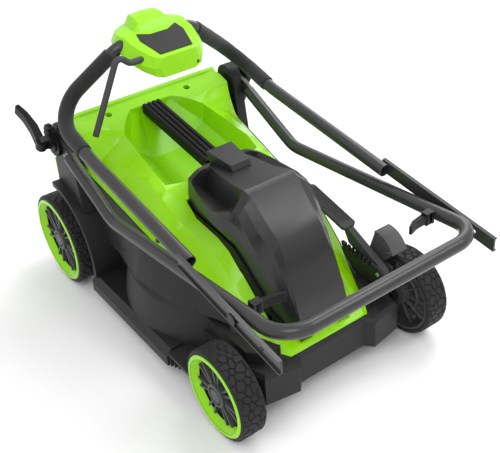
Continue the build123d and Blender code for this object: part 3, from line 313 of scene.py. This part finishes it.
def soften(node, width):
    """Break a CAD node's sharp edges: merge its loose triangles, clear flat seams, then round each edge."""
    weld = node.modifiers.new("merge", "WELD")
    weld.merge_threshold = MERGE_WITHIN
    flat = node.modifiers.new("flat", "DECIMATE")
    flat.decimate_type = "DISSOLVE"
    flat.angle_limit = math.radians(FLAT_ANGLE)
    edge = node.modifiers.new("edge", "BEVEL")
    edge.width = width / 1000
    edge.segments = EDGE_STEPS
    edge.limit_method = "ANGLE"
    edge.angle_limit = math.radians(SHARP_ANGLE)
    edge.use_clamp_overlap = True
    edge.miter_outer = "MITER_ARC"
    shade = node.modifiers.new("shade", "WEIGHTED_NORMAL")
    shade.mode = "FACE_AREA_WITH_ANGLE"
    smooth_shade(node.data)


def keep_sound():
    """Keep the triangles where clearing flat seams folded a face over itself, which adds area."""
    graph = bpy.context.evaluated_depsgraph_get()
    for node in NODES.values():
        if face_area(node.evaluated_get(graph).data) > face_area(node.data) * SOUND_GROWTH:
            node.modifiers.remove(node.modifiers["flat"])


def finish_nodes():
    """Give every CAD node the finish of its slot, or its own, and round its edges."""
    for entry in frame["record"]["subparts"]:
        name = entry["node"]
        node = NODES[name]
        node.data.materials.clear()
        node.data.materials.append(OWN_FINISH.get(name, FINISH[entry["material_slot"]]))
        soften(node, EDGE.get(name, EDGE_ELSE))


# New pieces: surfaces worked out as whole arrays, in metres, in the frame of the CAD model


def ring_quads(rows, cols):
    """Faces of a grid of points that closes on itself along its rows and along its columns."""
    i, j = np.meshgrid(np.arange(rows), np.arange(cols), indexing="ij")
    up, right = (i + 1) % rows, (j + 1) % cols
    quads = [i * cols + j, up * cols + j, up * cols + right, i * cols + right]
    return np.stack(quads, axis=-1).reshape(-1, 4)


def mesh_piece(name, points, quads, mat, body):
    """Smooth mesh object of points and four-cornered faces, riding on a body."""
    mesh = bpy.data.meshes.new(name)
    mesh.from_pydata(points.reshape(-1, 3).tolist(), [], quads.tolist())
    smooth_shade(mesh)
    mesh.materials.append(mat)
    piece = put(name, mesh)
    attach(piece, body)
    return piece


def smooth_step(t):
    """0 up to 0, 1 from 1 on, and three squares less two cubes in between."""
    t = np.clip(t, 0, 1)
    return t * t * (3 - 2 * t)


def wheel_size(wheel):
    """Middle, half width and radius of a wheel's solid tyre."""
    low, high = (np.array(v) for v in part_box(wheel + "_tyre"))
    return (low + high) / 2, (high[0] - low[0]) / 2, (high[2] - low[2]) / 2


def about_axle(x, reach, angle, middle):
    """Points at a place along the axle, a distance from it and an angle round it."""
    return np.stack([x, middle[1] + reach * np.cos(angle), middle[2] + reach * np.sin(angle)], -1)


# Tyres

TYRE_T = 0.0075
SHOULDER = 0.006
SHOULDER_STEPS = 9
CROWN = 0.0003
SIDE_IN = 0.0003
SIDE_UP = 0.0004
TREAD_STEPS = 64
TURN_STEP = 0.00078
BLOCK_LENGTH = 0.0235
BLOCK_WIDTH = 0.0128
GROOVE_HALF = 0.001
GROOVE_DEPTH = 0.0022
GROOVE_FLOOR = 0.45
GROOVE_WALL = 0.9
PLAIN_EDGE = 0.0008
PLAIN_SIDE = 0.0025
GROOVE_FADE = 0.002
SWAY = 0.16
# Waves round the wheel and lean across the tread, for the sway across and for the sway along
SWAY_ACROSS = (7, 3)
SWAY_ALONG = (11, -2)


def tread_grooves(around, across, cells):
    """Depth of the tread's grooves, from 0 on a block to 1 at the bottom of a groove.

    Blocks are a six-sided tiling: around is the share of a turn times the number of cells, across the
    distance over the tread in block widths. Slow waves round the wheel push the tiling about, so the blocks
    vary. The distance to the nearest cell border is a half less the largest of the cell's three slanted
    coordinates, and a smooth step over it gives the groove.
    """
    step = np.array([1.0, math.sqrt(3)])
    turn = around / cells * 2 * math.pi
    sway = np.stack([np.sin(SWAY_ACROSS[0] * turn + SWAY_ACROSS[1] * across),
                     np.cos(SWAY_ALONG[0] * turn + SWAY_ALONG[1] * across)], axis=-1)
    spot = np.stack([across, around * math.sqrt(3)], axis=-1) + SWAY * sway
    near = np.mod(spot + step / 2, step) - step / 2
    far = np.mod(spot, step) - step / 2
    use = (near ** 2).sum(-1) < (far ** 2).sum(-1)
    cell = np.abs(np.where(use[..., None], near, far))
    border = 0.5 - np.maximum(cell[..., 0], cell[..., 0] * 0.5 + cell[..., 1] * math.sqrt(3) / 2)
    return 1 - smooth_step((border * BLOCK_WIDTH - GROOVE_HALF * GROOVE_FLOOR) / (GROOVE_HALF * GROOVE_WALL))


def tyre_profile(half, radius):
    """Closed outline of a tyre, as distances along the axle and from it.

    It runs from the straight bore up one side wall, over a quarter-round shoulder, across a tread crowned by
    a third of a millimetre, over the other shoulder and down the other side wall.
    """
    bore = radius - TYRE_T
    bend = np.linspace(0, math.pi / 2, SHOULDER_STEPS)
    tread = np.linspace(-half + SHOULDER, half - SHOULDER, TREAD_STEPS)[1:-1]
    side = np.array([-half + SIDE_IN, -half])
    wall = np.array([bore, bore + SIDE_UP])
    rising = SHOULDER * np.sin(bend)
    falling = SHOULDER * np.cos(bend)
    axial = [side, -half + SHOULDER - falling, tread, half - SHOULDER + rising, -side[::-1], [0.0]]
    radial = [wall, radius - SHOULDER + rising, radius - CROWN * (tread / half) ** 2,
              radius - SHOULDER + falling, wall[::-1], [bore]]
    return np.concatenate(axial), np.concatenate(radial)


def make_tyre(wheel):
    """Treaded tyre: every point of its outline is carried round the axle.

    On the tread the distance from the axle drops by the groove's depth, which fades out over the shoulders,
    so the side walls stay plain and the tyre stays inside the solid one.
    """
    middle, half, radius = wheel_size(wheel)
    axial, radial = tyre_profile(half, radius)
    count = round(2 * math.pi * radius / TURN_STEP)
    cells = round(2 * math.pi * radius / BLOCK_LENGTH)
    turn = np.linspace(0, 2 * math.pi, count, endpoint=False)
    angle, across = np.meshgrid(turn, axial, indexing="ij")
    reach = np.broadcast_to(radial, angle.shape)
    groove = tread_grooves(angle / (2 * math.pi) * cells, across / BLOCK_WIDTH, cells)
    edge = np.clip((half - PLAIN_EDGE - np.abs(across)) / GROOVE_FADE, 0, 1)
    outer = np.clip((reach - (radius - TYRE_T) - PLAIN_SIDE) / GROOVE_FADE, 0, 1)
    reach = reach - GROOVE_DEPTH * groove * edge * outer
    points = about_axle(middle[0] + across, reach, angle, middle)
    quads = ring_quads(*angle.shape)
    piece = mesh_piece(wheel + "_treaded_tyre", points, quads, RUBBER, wheel + "_wheel")
    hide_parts(wheel + "_tyre")


# Inner side of the hubs

HUB_RIBS = 10
RIB_HALF = 0.0015
RIB_EDGE = 0.0008
RIB_TALL = 0.0145
RIB_FALL = 0.0065
ROUND_RIB_AT = 0.34
ROUND_RIB_TALL = 0.0105
KNOB_AT = 0.68
KNOB_R = 0.0048
KNOB_TALL = 0.0095
WEB_DEPTH = 0.021
HUB_BOSS_R = 0.02
DRUM_IN = 0.0125
SUNK = 0.0005
RIB_TURNS = 640
RIB_ROWS = 60


def raised(inside):
    """Rise from 0 to 1 as the distance inside an edge goes from minus to plus half an edge width."""
    return smooth_step(inside / RIB_EDGE + 0.5)


def make_hub_ribs(wheel):
    """Ribbed inner side of a hub: a ring-shaped plate about the axle with ribs and knobs standing on it.

    The height over the plate is the largest of three: radial ribs on even lines, which get lower towards the
    rim; one round rib a third of the way out; and a knob in every second bay. Each is a smooth step over the
    distance to its edge. The plate's bore, rim and back lie half a millimetre inside the solid hub.
    """
    middle, half, radius = wheel_size(wheel)
    side = 1 if middle[0] > 0 else -1
    web = abs(middle[0]) + half - WEB_DEPTH
    bore = HUB_BOSS_R - SUNK
    rim = radius - DRUM_IN + SUNK
    turn = np.linspace(0, 2 * math.pi, RIB_TURNS, endpoint=False)
    angle, reach = np.meshgrid(turn, np.linspace(bore, rim, RIB_ROWS), indexing="ij")
    pitch = 2 * math.pi / HUB_RIBS
    off = (np.mod(angle + pitch / 2, pitch) - pitch / 2) * reach
    bay = np.mod(angle, 2 * pitch) - pitch / 2
    share = (reach - bore) / (rim - bore)
    knob_at = bore + KNOB_AT * (rim - bore)
    from_knob = np.hypot(reach * np.sin(bay), reach * np.cos(bay) - knob_at)
    radial = raised(RIB_HALF - np.abs(off)) * (RIB_TALL - RIB_FALL * share)
    ring = raised(RIB_HALF - np.abs(share - ROUND_RIB_AT) * (rim - bore)) * ROUND_RIB_TALL
    knob = raised(KNOB_R - from_knob) * KNOB_TALL
    height = SUNK + np.maximum(np.maximum(radial, ring), knob)
    back = np.full((RIB_TURNS, 2), -SUNK)
    rise = np.concatenate([height, back], axis=1)
    reach = np.concatenate([reach, np.broadcast_to([rim, bore], back.shape)], axis=1)
    points = about_axle(side * (web - rise), reach, turn[:, None], middle)
    quads = ring_quads(*reach.shape)[:, ::side]
    mesh_piece(wheel + "_hub_ribs", points, quads, HUB, wheel + "_wheel")


# Foam sleeves of the grip

GRIP = ((0.188, 0.13, 0.328), (0.188, 0.251, 0.362), (0.07, 0.203, 0.463))
GRIP_FROM = 0.12
GRIP_TO = 0.89
GRIP_BEND = 0.058
FIRST_STEPS = 40
BEND_STEPS = 60
LAST_STEPS = 60
RING_STEPS = 48
TUBE_R = 0.011
FOAM_T = 0.0025
FOAM_IN = 0.0002
FOAM_LIP = 0.002
CORE_GAP = 0.0001
FOLD_HEIGHT, FOLD_LENGTH = 0.00035, 0.0042
WAVE_HEIGHT, WAVE_LENGTH = 0.00012, 0.031


def grip_line():
    """Centre line of the left grip: a straight run, an arc that touches both runs, and a straight run.

    Gives points, unit tangents and how far each point is into the bend, plus the normal of the plane.
    """
    a, corner, b = (np.array(v) for v in GRIP)
    start = a + (corner - a) * GRIP_FROM
    end = corner + (b - corner) * GRIP_TO
    into = (corner - start) / np.linalg.norm(corner - start)
    out = (end - corner) / np.linalg.norm(end - corner)
    swing = math.acos(float(into @ out))
    normal = np.cross(into, out) / math.sin(swing)
    back = GRIP_BEND * math.tan(swing / 2)
    arm = -np.cross(normal, into)
    centre = corner - into * back - arm * GRIP_BEND
    turn = np.linspace(0, swing, BEND_STEPS)[:, None]
    arc = centre + GRIP_BEND * (arm * np.cos(turn) + into * np.sin(turn))
    arc_way = into * np.cos(turn) - arm * np.sin(turn)
    first = start + (corner - into * back - start) * np.linspace(0, 1, FIRST_STEPS)[:, None]
    last = corner + out * back + (end - corner - out * back) * np.linspace(0, 1, LAST_STEPS)[:, None]
    before, after = len(first) - 1, len(last) - 1
    line = np.concatenate([first[:-1], arc, last[1:]])
    way = np.concatenate([np.tile(into, (before, 1)), arc_way, np.tile(out, (after, 1))])
    bend = np.concatenate([np.zeros(before), np.sin(turn[:, 0] / swing * math.pi), np.zeros(after)])
    return line, way, bend, normal


def make_foam_sleeves():
    """Soft sleeves on both sides of the grip loop.

    A ring is carried along the grip's centre line. Its radius is the sleeve's, rounded over at both ends,
    eased by slow waves of the hand-cut foam, and gathered in small folds on the inside of the bend.
    The same rings run back inside along the tube, which closes the sleeve. The right sleeve mirrors the left.
    """
    line, way, bend, normal = grip_line()
    along = np.concatenate([[0], np.cumsum(np.linalg.norm(np.diff(line, axis=0), axis=1))])
    phi = np.linspace(0, 2 * math.pi, RING_STEPS, endpoint=False)
    outward = np.cross(way, normal)
    inner = np.clip(-np.cos(phi), 0, 1) ** 2
    lip = np.clip(FOAM_LIP - np.minimum(along, along[-1] - along), 0, None)
    round_over = FOAM_LIP - np.sqrt(np.clip(FOAM_LIP ** 2 - lip ** 2, 0, None))
    folds = FOLD_HEIGHT * np.sin(along / FOLD_LENGTH * 2 * math.pi)[:, None] * bend[:, None] * inner
    waves = WAVE_HEIGHT * np.sin(along / WAVE_LENGTH * 2 * math.pi)[:, None] * np.cos(2 * phi)
    outer_r = TUBE_R + FOAM_T - FOAM_IN - round_over[:, None] + folds + waves - FOAM_IN * bend[:, None]
    spokes = outward[:, None] * np.cos(phi)[None, :, None] + normal * np.sin(phi)[None, :, None]
    outer = line[:, None] + spokes * outer_r[..., None]
    core = line[:, None] + spokes * (TUBE_R + CORE_GAP)
    left = np.concatenate([outer, core[::-1]])
    right = left * np.array([-1, 1, 1])
    rows, cols = left.shape[:2]
    quads = ring_quads(rows, cols)
    both = np.concatenate([quads, quads[:, ::-1] + rows * cols])
    points = np.concatenate([left, right])
    piece = mesh_piece("foam_sleeves", points, both, FOAM, "upper_frame")
    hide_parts("foam_grips")


place_camera()
make_stage()
finish_nodes()
keep_sound()
for wheel in ("front_left", "front_right", "rear_left", "rear_right"):
    make_tyre(wheel)
    make_hub_ribs(wheel)
make_foam_sleeves()
